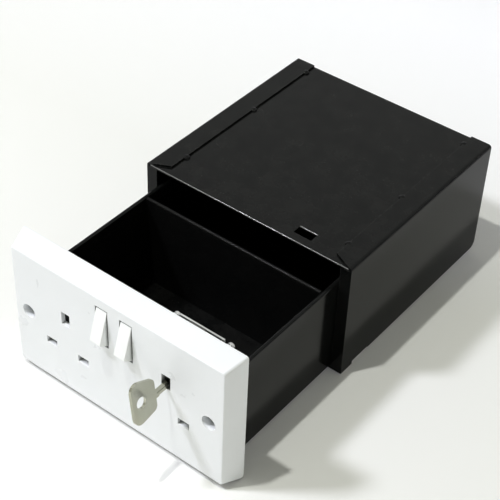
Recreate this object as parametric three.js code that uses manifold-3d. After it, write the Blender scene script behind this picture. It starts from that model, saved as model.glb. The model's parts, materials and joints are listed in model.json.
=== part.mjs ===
// Outlet diversion safe: a double switched-socket faceplate on a lockable steel drawer,
// which slides into a steel sleeve that is set into a wall. The drawer stands open.
//
// Millimetres. X runs to the right of someone facing the plate, Y runs into the wall and
// Z runs up. While the pieces are made, Y = 0 is the sleeve's mouth and Z = 0 is the
// plate's lower edge. The last lines move the origin to the middle of the object's footprint.

import * as THREE from 'three';
import { mergeVertices } from 'three/addons/utils/BufferGeometryUtils.js';
import Module from 'manifold-3d';

const wasm = await Module();
wasm.setup();

// Faceplate: a moulded shell with sides that lean in towards its face.
const plateWidth = 146;
const plateHeight = 86;
const plateDepth = 13.4;
const plateWall = 2.8;
const faceInset = 3.6;
const rimLand = 1.0;
const plateCorner = 1.4;
const faceEdge = 0.6;

// Socket pattern on the face, as on a real double socket.
const earthAboveLock = 1.7;
const pinDrop = 22.2;
const pinSpacing = 22.2;
const earthSlotWidth = 5.6;
const earthSlotHeight = 8.4;
const pinSlotWidth = 7.2;
const pinSlotHeight = 4.4;
const pinSlotDepth = 4.0;
const recessFromSide = 12.7;
const recessRadius = 4.2;
const recessDepth = 5.0;
const cupWall = 1.2;

// Rocker switches: each turns on one steel axle behind the face.
const rockerSpacing = 16;
const rockerAboveEarth = 11.0;
const rockerWidth = 7.2;
const rockerFaceHalf = 9.7;
const rockerFaceReach = 7.15;
const rockerWaistHalf = 12.0;
const rockerBackHalf = 11.4;
const rockerBackReach = 3.0;
const rockerTilt = THREE.MathUtils.degToRad(18);
const rockerGap = 0.4;
const axleDepth = 4.2;
const axleRadius = 1.0;
const cradleRib = 1.6;
const cradleRibHeight = 8.4;
const cradleBar = 2.0;

// Sleeve: a flat top sheet and a bent floor and back sheet between two flanged side sheets.
const plateBeyondSleeveSide = 3.9;
const plateBeyondSleeveTop = 9.3;
const sleeveDepth = 138.5;
const sleeveSheet = 1.2;
const sleeveLift = 0.3;
const bendRadius = 2.0;
const flangeWidth = 13.3;
const flangeCutback = 6.0;
const lowerFlangeStart = 26.5;
const sillDepth = 10.5;
const rearBendRadius = 5.0;
const fixingHoleRadius = 3.0;
const fixingHoleSpacing = 80;
const tackRadius = 2.2;
const tackHeight = 1.7;
const leftTacks = [18, sleeveDepth - 60, sleeveDepth - 8.5];
const rightTacks = [16, sleeveDepth - 72, sleeveDepth - 8.5];

// Drawer: a tray whose sides run on behind its rear wall as runners.
const pullOut = 89.6;
const drawerSheet = 1.0;
const drawerToWeb = 6.2;
const roofOverDrawer = 10.6;
const rearWallBeforeMouth = 12.6;
const runnerToBack = 3.0;
const hemWidth = 2.6;
const hemDrop = 7.0;
const stopToWeb = 0.9;
const stopHeight = 16;
const stopTravel = 2.0;
const plateScrewFromSide = 4.0;
const plateScrewFromBase = 8.0;
const plateScrewFromTop = 9.8;

// Lock: a plug turned by the key lifts a bolt into a slot in the sleeve's top.
const lockUnderDrawerTop = 12.2;
const plugRadius = 6.0;
const barrelRadius = 8.5;
const nutAcrossFlats = 22;
const nutThickness = 3.5;
const caseWidth = 28;
const caseBelowAxis = 15.5;
const roofOverCase = 4.0;
const caseWall = 1.6;
const caseTopSetback = 1.3;
const backplateSheet = 1.0;
const boltBehindMouth = 8.5;
const boltWidth = 10.3;
const boltThickness = 4.8;
const boltBodyBelowAxis = 11.5;
const boltBodyAboveAxis = 9.5;
const boltSleeveGap = 0.7;
const boltSlotEndGap = 0.6;
const boltSlotSideGap = 0.55;
const pinRadius = 1.3;
const pinOffset = 4.2;
const pinPlay = 0.45;
const lockBossToCase = 0.4;
const lockBossUnderCaseTop = 3.5;

// Fasteners and the bosses that they bite into.
const lockBossRadius = 2.6;
const plateBossRadius = 3.2;
const screwShank = 1.1;
const screwHeadRadius = 2.0;
const screwHeadHeight = 1.8;
const screwBite = 8.0;
const crossReach = 1.2;
const crossHalfWidth = 0.4;

// Key: a flat bow and a flat blade, a little off upright while the lock is open. The bow
// leans up from the blade's line by bowLean, in degrees.
const keyTurnAtRest = THREE.MathUtils.degToRad(15);
const pinAngleAtRest = THREE.MathUtils.degToRad(225);
const bowThickness = 1.6;
const bowLength = 15.9;
const bowFrontHalf = 12.7;
const bowRearHalf = 8.3;
const bowFrontCorner = 6.9;
const bowRearCorner = 2.6;
const bowHoleRadius = 3.1;
const bowHoleFromFront = 5.9;
const bowStandoff = 8.0;
const bowLean = 7.3;
const bowAboveBlade = 0.7;
const bladeHeight = 3.1;
const bladeThickness = 1.7;
const bladeInPlug = 13.0;
const bladeTipHeight = 1.2;
const shoulderLength = 1.8;
const shoulderDrop = 0.5;

// Clearances, and how far a block runs past the face that it cuts through or joins.
const gap = 0.3;
const drawerSideGap = 0.5;
const plugToBolt = 1.0;
const boltToBackplate = 2.3;
const overrun = 1;

// Places that several pieces share, worked out from the sizes above. The lock stands right
// beside the switches, and both sockets are spaced to match it.
const plateBack = -pullOut;
const plateFace = plateBack - plateDepth;
const plateInside = plateFace + plateWall;
const middleZ = plateHeight / 2;

const sleeveHalf = plateWidth / 2 - plateBeyondSleeveSide;
const sleeveBottom = sleeveLift;
const sleeveTop = plateHeight - plateBeyondSleeveTop;
const webInside = sleeveHalf - sleeveSheet;
const flatPanelHalf = sleeveHalf - bendRadius - gap;
const floorSheetBottom = sleeveBottom + sleeveSheet;
const floorSheetTop = floorSheetBottom + sleeveSheet;
const roofSheetTop = sleeveTop - sleeveSheet;
const roofSheetBottom = roofSheetTop - sleeveSheet;
const backSheetFront = sleeveDepth - sleeveSheet;

const drawerHalf = webInside - drawerToWeb;
const drawerInside = drawerHalf - drawerSheet;
const drawerBottom = floorSheetTop + gap;
const drawerTop = roofSheetBottom - roofOverDrawer;
const frontWallBack = plateBack + drawerSheet;
const rearWallFront = -rearWallBeforeMouth;
const rearWallBack = rearWallFront + hemWidth;
const closedShift = pullOut - gap;
const runnerEnd = backSheetFront - runnerToBack - closedShift;
const stopFront = sleeveSheet + stopTravel + gap;
const stopReach = drawerToWeb - stopToWeb;
const stopMiddle = (drawerBottom + drawerTop) / 2;

const rockerX = rockerSpacing / 2;
const cradleEnd = rockerX + rockerWidth / 2 + rockerGap + cradleRib;
const lockBossOffset = caseWidth / 2 + lockBossToCase + lockBossRadius;
const lockX = cradleEnd + gap + lockBossRadius + lockBossOffset;
const lockZ = drawerTop - lockUnderDrawerTop;
const boltY = boltBehindMouth - closedShift;
const boltFront = boltY - boltThickness / 2;
const boltBack = boltY + boltThickness / 2;
const boltTop = roofSheetBottom - boltSleeveGap;
const barrelFront = plateInside + gap;
const barrelBack = boltFront - plugToBolt;
const plugBack = barrelBack + gap;
const caseFront = frontWallBack + gap;
const caseBack = boltBack + boltToBackplate;
const caseTop = roofSheetBottom - roofOverCase;
const caseBottom = lockZ - caseBelowAxis;
const backplateBack = caseBack + backplateSheet;
const lockBossZ = caseTop - lockBossUnderCaseTop;
const pinSwing = pinOffset * Math.SQRT1_2;

const socketX = lockX;
const earthZ = lockZ + earthAboveLock;
const pinZ = earthZ - pinDrop;
const recessX = plateWidth / 2 - recessFromSide;
const axleY = plateFace + axleDepth;
const axleZ = earthZ + rockerAboveEarth;
const rockerSweep = Math.max(Math.hypot(rockerFaceHalf, rockerFaceReach), rockerWaistHalf);

const bowRear = plateFace - bowStandoff;
const bowFront = bowRear - bowLength;
const bladeTip = barrelFront + gap + bladeInPlug;

// Finishes.
const finishes = {
  whitePlastic: { color: 0xeef0f1, roughness: 0.32, metalness: 0.0 },
  blackPaint: { color: 0x1d1e1e, roughness: 0.42, metalness: 0.0 },
  nickel: { color: 0xb9baae, roughness: 0.24, metalness: 1.0 },
  zinc: { color: 0xa3a4a2, roughness: 0.4, metalness: 1.0 },
  darkMetal: { color: 0x3a3a39, roughness: 0.45, metalness: 1.0 },
};

// A closed three.js geometry as a solid that can be cut and joined.
function solidOf(geometry) {
  const bare = geometry.clone();
  bare.deleteAttribute('normal');
  bare.deleteAttribute('uv');
  const merged = mergeVertices(bare, 1e-4);
  return new wasm.Manifold(new wasm.Mesh({
    numProp: 3,
    vertProperties: new Float32Array(merged.attributes.position.array),
    triVerts: new Uint32Array(merged.index.array),
  }));
}

function joined(solids) {
  return solids.reduce((whole, next) => whole.add(next));
}

function cut(body, tools) {
  return tools.reduce((rest, tool) => rest.subtract(tool), body);
}

// A block between two opposite corners.
function block(x0, x1, y0, y1, z0, z1) {
  const geometry = new THREE.BoxGeometry(x1 - x0, y1 - y0, z1 - z0);
  geometry.translate((x0 + x1) / 2, (y0 + y1) / 2, (z0 + z1) / 2);
  return solidOf(geometry);
}

// Outlines drawn in X and Z, Y and Z, or X and Y, and drawn out along the third axis.
function alongY(shape, y0, y1, curveSegments = 8) {
  const geometry = new THREE.ExtrudeGeometry(shape, { depth: y1 - y0, bevelEnabled: false, curveSegments });
  geometry.rotateX(Math.PI / 2);
  geometry.translate(0, y1, 0);
  return solidOf(geometry);
}

function alongX(shape, x0, x1, curveSegments = 8) {
  const geometry = new THREE.ExtrudeGeometry(shape, { depth: x1 - x0, bevelEnabled: false, curveSegments });
  geometry.applyMatrix4(new THREE.Matrix4().makeBasis(
    new THREE.Vector3(0, 1, 0),
    new THREE.Vector3(0, 0, 1),
    new THREE.Vector3(1, 0, 0),
  ));
  geometry.translate(x0, 0, 0);
  return solidOf(geometry);
}

function alongZ(shape, z0, z1, curveSegments = 8) {
  const geometry = new THREE.ExtrudeGeometry(shape, { depth: z1 - z0, bevelEnabled: false, curveSegments });
  geometry.translate(0, 0, z0);
  return solidOf(geometry);
}

function polygon(points) {
  return new THREE.Shape(points.map(([a, b]) => new THREE.Vector2(a, b)));
}

// Round bars along Y and along X.
function rodAlongY(x, z, radius, y0, y1, sides = 24) {
  const geometry = new THREE.CylinderGeometry(radius, radius, y1 - y0, sides);
  geometry.translate(x, (y0 + y1) / 2, z);
  return solidOf(geometry);
}

function rodAlongX(y, z, radius, x0, x1, sides = 24) {
  const geometry = new THREE.CylinderGeometry(radius, radius, x1 - x0, sides);
  geometry.rotateZ(Math.PI / 2);
  geometry.translate((x0 + x1) / 2, y, z);
  return solidOf(geometry);
}

// One ring of a rounded rectangle, centred on X = 0 and the plate's middle height.
function plateRing(halfWidth, halfHeight, radius, y) {
  const quarter = 5;
  const points = [];
  const corners = [[1, 1], [-1, 1], [-1, -1], [1, -1]];
  corners.forEach(([sideX, sideZ], corner) => {
    for (let step = 0; step <= quarter; step += 1) {
      const angle = (corner + step / quarter) * Math.PI / 2;
      points.push([
        sideX * (halfWidth - radius) + radius * Math.cos(angle),
        y,
        middleZ + sideZ * (halfHeight - radius) + radius * Math.sin(angle),
      ]);
    }
  });
  return points;
}

// A solid through rings that run from front to back.
function loft(rings) {
  const count = rings[0].length;
  const centreOf = (ring) => [0, ring[0][1], middleZ];
  const positions = [...rings.flat(), centreOf(rings[0]), centreOf(rings.at(-1))];
  const frontCentre = count * rings.length;
  const backCentre = frontCentre + 1;
  const lastRing = count * (rings.length - 1);
  const faces = [];
  for (let i = 0; i < count; i += 1) {
    const next = (i + 1) % count;
    faces.push(frontCentre, i, next);
    faces.push(backCentre, lastRing + next, lastRing + i);
    for (let ring = 0; ring < rings.length - 1; ring += 1) {
      const near = ring * count;
      const far = near + count;
      faces.push(near + i, far + i, near + next);
      faces.push(near + next, far + i, far + next);
    }
  }
  const geometry = new THREE.BufferGeometry();
  geometry.setAttribute('position', new THREE.Float32BufferAttribute(positions.flat(), 3));
  geometry.setIndex(faces);
  return solidOf(geometry);
}

// The named mesh of a finished solid.
function piece(name, solid, finish) {
  const mesh = solid.getMesh();
  const geometry = new THREE.BufferGeometry();
  geometry.setAttribute('position', new THREE.Float32BufferAttribute(mesh.vertProperties, 3));
  geometry.setIndex(Array.from(mesh.triVerts));
  geometry.computeVertexNormals();
  const result = new THREE.Mesh(geometry, new THREE.MeshStandardMaterial(finishes[finish]));
  result.name = name;
  return result;
}

// Places of the screws that hold the plate to the drawer's front wall.
function plateScrewPlaces() {
  const places = [];
  for (const z of [drawerBottom + plateScrewFromBase, drawerTop - plateScrewFromTop]) {
    for (const side of [-1, 1]) places.push([side * (drawerHalf - plateScrewFromSide), z]);
  }
  return places;
}

function lockScrewPlaces() {
  return [-1, 1].map((side) => [lockX + side * lockBossOffset, lockBossZ]);
}

// Faceplate: outside skin, less the hollow behind it, with bosses, slots and recesses. The
// pin slots and recesses are deeper than the wall, so each has a cup behind it.
function faceplate() {
  const halfWidth = plateWidth / 2;
  const halfHeight = plateHeight / 2;
  const faceWidth = halfWidth - faceInset;
  const faceHeight = halfHeight - faceInset;
  const rings = [];
  const edgeSteps = 4;
  for (let step = 0; step <= edgeSteps; step += 1) {
    const angle = (step / edgeSteps) * Math.PI / 2;
    const inset = faceEdge * (1 - Math.sin(angle));
    rings.push(plateRing(
      faceWidth - inset,
      faceHeight - inset,
      plateCorner - inset,
      plateFace + faceEdge * (1 - Math.cos(angle)),
    ));
  }
  rings.push(plateRing(halfWidth, halfHeight, plateCorner, plateBack - rimLand));
  rings.push(plateRing(halfWidth, halfHeight, plateCorner, plateBack));
  const skin = loft(rings);

  const innerCorner = Math.max(plateCorner - plateWall, 0.5);
  const hollow = loft([
    plateRing(faceWidth - plateWall, faceHeight - plateWall, innerCorner, plateInside),
    plateRing(halfWidth - plateWall, halfHeight - plateWall, innerCorner, plateBack + overrun),
  ]);

  const bosses = [];
  const bores = [];
  for (const [x, z] of plateScrewPlaces()) {
    bosses.push(rodAlongY(x, z, plateBossRadius, plateInside - overrun, plateBack - gap));
    bores.push(rodAlongY(x, z, screwShank + gap, plateBack - screwBite - overrun, plateBack + overrun));
  }
  for (const [x, z] of lockScrewPlaces()) {
    bosses.push(rodAlongY(x, z, lockBossRadius, plateInside - overrun, caseBack));
    bores.push(rodAlongY(x, z, screwShank + gap, caseBack - screwBite - overrun, caseBack + overrun));
  }

  const cups = [];
  const openings = [];
  for (const side of [-1, 1]) {
    const centre = side * socketX;
    openings.push(block(
      centre - earthSlotWidth / 2, centre + earthSlotWidth / 2,
      plateFace - overrun, plateInside + overrun,
      earthZ - earthSlotHeight / 2, earthZ + earthSlotHeight / 2,
    ));
    for (const pinSide of [-1, 1]) {
      const pinX = centre + pinSide * pinSpacing / 2;
      const cupHalfX = pinSlotWidth / 2 + cupWall;
      const cupHalfZ = pinSlotHeight / 2 + cupWall;
      cups.push(block(
        pinX - cupHalfX, pinX + cupHalfX,
        plateInside - overrun, plateFace + pinSlotDepth + cupWall,
        pinZ - cupHalfZ, pinZ + cupHalfZ,
      ));
      openings.push(block(
        pinX - pinSlotWidth / 2, pinX + pinSlotWidth / 2,
        plateFace - overrun, plateFace + pinSlotDepth,
        pinZ - pinSlotHeight / 2, pinZ + pinSlotHeight / 2,
      ));
    }
    const recessBack = plateFace + recessDepth;
    cups.push(rodAlongY(
      side * recessX, middleZ, recessRadius + cupWall, plateInside - overrun, recessBack + cupWall, 32,
    ));
    openings.push(rodAlongY(side * recessX, middleZ, recessRadius, plateFace - overrun, recessBack, 32));
    const rockerCentre = side * rockerX;
    const apertureHalf = rockerSweep + gap;
    openings.push(block(
      rockerCentre - rockerWidth / 2 - rockerGap, rockerCentre + rockerWidth / 2 + rockerGap,
      plateFace - overrun, plateInside + overrun,
      axleZ - apertureHalf, axleZ + apertureHalf,
    ));
  }
  const shell = joined([cut(skin, [hollow]), ...bosses, ...cups]);
  return piece('faceplate', cut(shell, [...bores, ...openings]), 'whitePlastic');
}

// Rocker: a wedge that rocks on the axle. Its lower end stands out, as when switched off.
function rocker(name, x) {
  const profile = polygon([
    [-rockerFaceReach, -rockerFaceHalf],
    [-rockerFaceReach, rockerFaceHalf],
    [0, rockerWaistHalf],
    [rockerBackReach, rockerBackHalf],
    [rockerBackReach, -rockerBackHalf],
    [0, -rockerWaistHalf],
  ]);
  const body = alongX(profile, -rockerWidth / 2, rockerWidth / 2);
  const bore = rodAlongX(0, 0, axleRadius + gap, -rockerWidth, rockerWidth);
  const result = piece(name, cut(body, [bore]), 'whitePlastic');
  result.position.set(x, axleY, axleZ);
  result.rotation.x = -rockerTilt;
  return result;
}

function rockerAxle() {
  return piece('rocker_axle', rodAlongX(axleY, axleZ, axleRadius, -cradleEnd, cradleEnd), 'zinc');
}

// Cradle: three ribs behind the face that carry the axle, tied by a bar behind the rockers.
function rockerCradle() {
  const end = cradleEnd;
  const barBack = plateBack - gap;
  const barFront = barBack - cradleBar;
  const low = axleZ - cradleRibHeight / 2;
  const high = axleZ + cradleRibHeight / 2;
  const middleRib = rockerX - rockerWidth / 2 - rockerGap;
  const ribs = [
    block(-end, -end + cradleRib, plateInside, barBack, low, high),
    block(-middleRib, middleRib, plateInside, barBack, low, high),
    block(end - cradleRib, end, plateInside, barBack, low, high),
    block(-end, end, barFront, barBack, low, high),
  ];
  const bore = rodAlongX(axleY, axleZ, axleRadius + gap / 2, -end - overrun, end + overrun);
  return piece('rocker_cradle', cut(joined(ribs), [bore]), 'whitePlastic');
}

// Side sheet of the sleeve: web, lapped top and bottom flanges and an in-turned mouth flange.
function sleeveSide(name, side, tacks) {
  const inner = sleeveHalf - flangeWidth;
  const curve = bendRadius - sleeveSheet;
  const bend = new THREE.Shape();
  bend.moveTo(inner, sleeveTop);
  bend.lineTo(sleeveHalf - bendRadius, sleeveTop);
  bend.absarc(sleeveHalf - bendRadius, sleeveTop - bendRadius, bendRadius, Math.PI / 2, 0, true);
  bend.lineTo(sleeveHalf, sleeveBottom + bendRadius);
  bend.absarc(sleeveHalf - bendRadius, sleeveBottom + bendRadius, bendRadius, 0, -Math.PI / 2, true);
  bend.lineTo(inner, sleeveBottom);
  bend.lineTo(inner, floorSheetBottom);
  bend.lineTo(sleeveHalf - bendRadius, floorSheetBottom);
  bend.absarc(sleeveHalf - bendRadius, sleeveBottom + bendRadius, curve, -Math.PI / 2, 0, false);
  bend.lineTo(webInside, sleeveTop - bendRadius);
  bend.absarc(sleeveHalf - bendRadius, sleeveTop - bendRadius, curve, 0, Math.PI / 2, false);
  bend.lineTo(inner, roofSheetTop);
  const channel = alongY(bend, 0, sleeveDepth, 5);

  const mitre = alongZ(polygon([
    [sleeveHalf - bendRadius, -overrun],
    [sleeveHalf - bendRadius, 0],
    [inner - overrun, flangeCutback],
    [inner - overrun, -overrun],
  ]), roofSheetTop - gap, sleeveTop + overrun);
  const relief = block(
    inner - overrun, sleeveHalf + overrun,
    -overrun, lowerFlangeStart,
    sleeveBottom - overrun, floorSheetTop,
  );
  const bendY = sleeveDepth - rearBendRadius;
  const bendZ = floorSheetBottom + rearBendRadius;
  const cornerBlock = block(
    inner - overrun, sleeveHalf + overrun,
    bendY, sleeveDepth + overrun,
    sleeveBottom - overrun, bendZ,
  );
  const cornerRound = rodAlongX(
    bendY, bendZ, rearBendRadius,
    inner - 2 * overrun, sleeveHalf + 2 * overrun, 32,
  );
  const cornerCut = cornerBlock.subtract(cornerRound);
  const mouthFlange = block(
    drawerHalf + drawerSideGap, sleeveHalf - bendRadius / 2,
    0, sleeveSheet,
    floorSheetTop, roofSheetBottom,
  );
  const beads = tacks.map((y) => tackBead(inner, y));
  const whole = joined([cut(channel, [mitre, relief, cornerCut]), mouthFlange, ...beads]);
  return piece(name, side > 0 ? whole : whole.mirror([1, 0, 0]), 'blackPaint');
}

// A small weld bead where a flange's free edge meets the top sheet.
function tackBead(x, y) {
  const ball = new THREE.SphereGeometry(tackRadius, 12, 8);
  ball.scale(1, 1, tackHeight / tackRadius);
  ball.translate(x, y, roofSheetTop);
  const reach = tackRadius + overrun;
  const above = block(x - reach, x + reach, y - reach, y + reach, roofSheetTop, roofSheetTop + reach);
  return solidOf(ball).intersect(above);
}

function sleeveTopPanel() {
  const sheet = block(-flatPanelHalf, flatPanelHalf, 0, sleeveDepth, roofSheetBottom, roofSheetTop);
  const slotHalfX = boltWidth / 2 + boltSlotEndGap;
  const slotHalfY = boltThickness / 2 + boltSlotSideGap;
  const slot = block(
    lockX - slotHalfX, lockX + slotHalfX,
    boltBehindMouth - slotHalfY, boltBehindMouth + slotHalfY,
    roofSheetBottom - overrun, roofSheetTop + overrun,
  );
  return piece('sleeve_top_panel', cut(sheet, [slot]), 'blackPaint');
}

// Floor and back: one sheet bent up at the rear. Its front edge spans the full width and is
// folded under as a sill. The back has two holes for the screws that go into the wall.
function sleeveFloorAndBack() {
  const bendY = sleeveDepth - rearBendRadius;
  const bendZ = floorSheetBottom + rearBendRadius;
  const profile = new THREE.Shape();
  profile.moveTo(0, floorSheetBottom);
  profile.lineTo(bendY, floorSheetBottom);
  profile.absarc(bendY, bendZ, rearBendRadius, -Math.PI / 2, 0, false);
  profile.lineTo(sleeveDepth, roofSheetBottom);
  profile.lineTo(backSheetFront, roofSheetBottom);
  profile.lineTo(backSheetFront, bendZ);
  profile.absarc(bendY, bendZ, rearBendRadius - sleeveSheet, 0, -Math.PI / 2, true);
  profile.lineTo(0, floorSheetTop);
  const sheet = alongX(profile, -flatPanelHalf, flatPanelHalf);
  const sillBottom = floorSheetBottom - sleeveSheet;
  const sill = block(-sleeveHalf, sleeveHalf, 0, sillDepth, sillBottom, floorSheetTop);
  const backHalf = webInside - gap;
  const back = block(-backHalf, backHalf, backSheetFront, sleeveDepth, bendZ, roofSheetBottom);
  const holeZ = (floorSheetTop + roofSheetBottom) / 2;
  const holes = [-1, 1].map((side) => rodAlongY(
    side * fixingHoleSpacing / 2, holeZ, fixingHoleRadius, backSheetFront - overrun, sleeveDepth + overrun,
  ));
  return piece('sleeve_floor_and_back', cut(joined([sheet, sill, back]), holes), 'blackPaint');
}

// Outline of a wall whose top edge is folded over into a hem. The wall's outer face is at
// 0, the hem reaches to -hemWidth, and the outline stands from bottom to drawerTop.
function hemmedWall(bottom, along) {
  const outer = hemWidth / 2;
  const inner = outer - drawerSheet;
  const crown = drawerTop - outer;
  const place = (distance) => along(-distance);
  const shape = new THREE.Shape();
  shape.moveTo(place(0), bottom);
  shape.lineTo(place(0), crown);
  const steps = 6;
  for (let step = 1; step <= steps; step += 1) {
    const angle = Math.PI * step / steps;
    shape.lineTo(place(outer - outer * Math.cos(angle)), crown + outer * Math.sin(angle));
  }
  shape.lineTo(place(hemWidth), drawerTop - hemDrop);
  shape.lineTo(place(hemWidth - drawerSheet), drawerTop - hemDrop);
  for (let step = steps; step >= 0; step -= 1) {
    const angle = Math.PI * step / steps;
    shape.lineTo(place(outer - inner * Math.cos(angle)), crown + inner * Math.sin(angle));
  }
  shape.lineTo(place(drawerSheet), bottom);
  return shape;
}

// Drawer side: hemmed top, and a tab pressed out of it that stops behind the mouth flange.
function drawerSide(name, side) {
  const outline = hemmedWall(drawerBottom, (x) => drawerHalf + x);
  const wall = alongY(outline, plateBack, runnerEnd);
  const low = stopMiddle - stopHeight / 2;
  const high = stopMiddle + stopHeight / 2;
  const stopBack = stopFront + drawerSheet;
  const opening = block(
    drawerInside - overrun, drawerHalf + overrun,
    stopBack, stopBack + stopReach,
    low - gap, high + gap,
  );
  const tab = block(drawerInside, drawerHalf + stopReach, stopFront, stopBack, low, high);
  const whole = joined([cut(wall, [opening]), tab]);
  return piece(name, side > 0 ? whole : whole.mirror([1, 0, 0]), 'blackPaint');
}

// Blocks that clear the side hems from the corners of the front and rear walls.
function hemNotches(y0, y1) {
  const inner = drawerHalf - hemWidth - gap;
  const low = drawerTop - hemDrop - gap;
  return [
    block(inner, drawerHalf + overrun, y0 - overrun, y1 + overrun, low, drawerTop + overrun),
    block(-drawerHalf - overrun, -inner, y0 - overrun, y1 + overrun, low, drawerTop + overrun),
  ];
}

function drawerRearWall() {
  const outline = hemmedWall(drawerBottom + drawerSheet, (y) => rearWallFront - y);
  const wall = alongX(outline, -drawerInside, drawerInside);
  return piece('drawer_rear_wall', cut(wall, hemNotches(rearWallFront, rearWallBack)), 'blackPaint');
}

function drawerFrontWall() {
  const sheet = block(-drawerInside, drawerInside, plateBack, frontWallBack, drawerBottom, drawerTop);
  const low = plateBack - overrun;
  const high = frontWallBack + overrun;
  const holes = plateScrewPlaces().map(([x, z]) => rodAlongY(x, z, screwShank + gap, low, high));
  const barrelHole = rodAlongY(lockX, lockZ, barrelRadius + gap, low, high, 48);
  const solid = cut(sheet, [...holes, barrelHole, ...hemNotches(plateBack, frontWallBack)]);
  return piece('drawer_front_wall', solid, 'blackPaint');
}

function drawerBase() {
  const sheet = block(
    -drawerInside, drawerInside, frontWallBack, rearWallBack, drawerBottom, drawerBottom + drawerSheet,
  );
  return piece('drawer_base', sheet, 'blackPaint');
}

// Cross-headed screw driven from inside the drawer towards the face.
function screw(name, x, z, seat) {
  const shank = rodAlongY(x, z, screwShank, seat - screwBite, seat + overrun, 16);
  const head = rodAlongY(x, z, screwHeadRadius, seat, seat + screwHeadHeight, 24);
  const crossFloor = seat + screwHeadHeight / 2;
  const crossTop = seat + screwHeadHeight + overrun;
  const cross = [
    block(x - crossReach, x + crossReach, crossFloor, crossTop, z - crossHalfWidth, z + crossHalfWidth),
    block(x - crossHalfWidth, x + crossHalfWidth, crossFloor, crossTop, z - crossReach, z + crossReach),
  ];
  return piece(name, cut(joined([shank, head]), cross), 'zinc');
}

// Lock barrel: the fixed tube that the plug turns in.
function lockBarrel() {
  const tube = rodAlongY(lockX, lockZ, barrelRadius, barrelFront, barrelBack, 48);
  const bore = rodAlongY(lockX, lockZ, plugRadius + gap, barrelFront - overrun, barrelBack + overrun, 48);
  return piece('lock_barrel', cut(tube, [bore]), 'zinc');
}

function lockNut() {
  const back = plateBack - gap;
  const hexagon = rodAlongY(lockX, lockZ, nutAcrossFlats / Math.sqrt(3), back - nutThickness, back, 6);
  const front = back - nutThickness;
  const bore = rodAlongY(lockX, lockZ, barrelRadius + gap, front - overrun, back + overrun, 48);
  return piece('lock_nut', cut(hexagon, [bore]), 'zinc');
}

// Lock case: a box open at the back, which guides the bolt up through its top wall. The
// top wall ends a little before the backplate, so that a dark line shows between them.
function lockCase() {
  const half = caseWidth / 2;
  const box = block(lockX - half, lockX + half, caseFront, caseBack, caseBottom, caseTop);
  const room = block(
    lockX - half + caseWall, lockX + half - caseWall,
    caseFront + caseWall, caseBack + overrun,
    caseBottom + caseWall, caseTop - caseWall,
  );
  const wallBack = caseFront + caseWall;
  const holeRadius = barrelRadius + gap;
  const barrelHole = rodAlongY(lockX, lockZ, holeRadius, caseFront - overrun, wallBack + overrun, 48);
  const boltHole = block(
    lockX - boltWidth / 2 - gap, lockX + boltWidth / 2 + gap,
    boltFront - gap, boltBack + gap,
    caseTop - caseWall - overrun, caseTop + overrun,
  );
  const setback = block(
    lockX - half + caseWall, lockX + half - caseWall,
    caseBack - caseTopSetback, caseBack + overrun,
    caseTop - caseWall - overrun, caseTop + overrun,
  );
  return piece('lock_case', cut(box, [room, barrelHole, boltHole, setback]), 'zinc');
}

// Backplate: closes the case and has an ear over each boss.
function lockBackplate() {
  const half = caseWidth / 2;
  const earReach = lockBossOffset + lockBossRadius;
  const earTop = lockBossZ + screwHeadRadius / 2;
  const sheet = block(lockX - half, lockX + half, caseBack, backplateBack, caseBottom, caseTop);
  const ears = block(
    lockX - earReach, lockX + earReach,
    caseBack, backplateBack,
    lockBossZ - lockBossRadius, earTop,
  );
  const low = caseBack - overrun;
  const high = backplateBack + overrun;
  const holes = lockScrewPlaces().map(([x, z]) => rodAlongY(x, z, screwShank + gap, low, high));
  return piece('lock_backplate', cut(joined([sheet, ears]), holes), 'zinc');
}

// Plug: turns with the key. The pin on its rear end carries the bolt up and down.
function lockPlug() {
  const body = rodAlongY(0, 0, plugRadius, barrelFront, plugBack, 48);
  const keyway = block(
    -bladeThickness / 2 - gap, bladeThickness / 2 + gap,
    barrelFront - overrun, bladeTip + gap,
    -bladeHeight / 2 - gap, bladeHeight / 2 + gap,
  );
  const angle = pinAngleAtRest - keyTurnAtRest;
  const pin = rodAlongY(
    pinOffset * Math.cos(angle), pinOffset * Math.sin(angle), pinRadius, plugBack - overrun, boltBack - gap,
  );
  const result = piece('lock_plug', joined([cut(body, [keyway]), pin]), 'darkMetal');
  result.position.set(lockX, 0, lockZ);
  result.rotation.y = -keyTurnAtRest;
  return result;
}

// Bolt: a wide body with a cross slot for the pin, and a head that enters the sleeve's top.
function lockBolt() {
  const bodyHalf = caseWidth / 2 - caseWall - gap;
  const bodyTop = lockZ + boltBodyAboveAxis;
  const body = block(
    lockX - bodyHalf, lockX + bodyHalf,
    boltFront, boltBack,
    lockZ - boltBodyBelowAxis, bodyTop,
  );
  const head = block(
    lockX - boltWidth / 2, lockX + boltWidth / 2,
    boltFront, boltBack,
    bodyTop - overrun, boltTop,
  );
  const slotZ = lockZ - pinSwing;
  const slotHalf = pinRadius + pinPlay;
  const slot = block(
    lockX - pinOffset - slotHalf, lockX - pinSwing + slotHalf,
    boltFront - overrun, boltBack + overrun,
    slotZ - slotHalf, slotZ + slotHalf,
  );
  return piece('lock_bolt', cut(joined([body, head]), [slot]), 'zinc');
}

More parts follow.
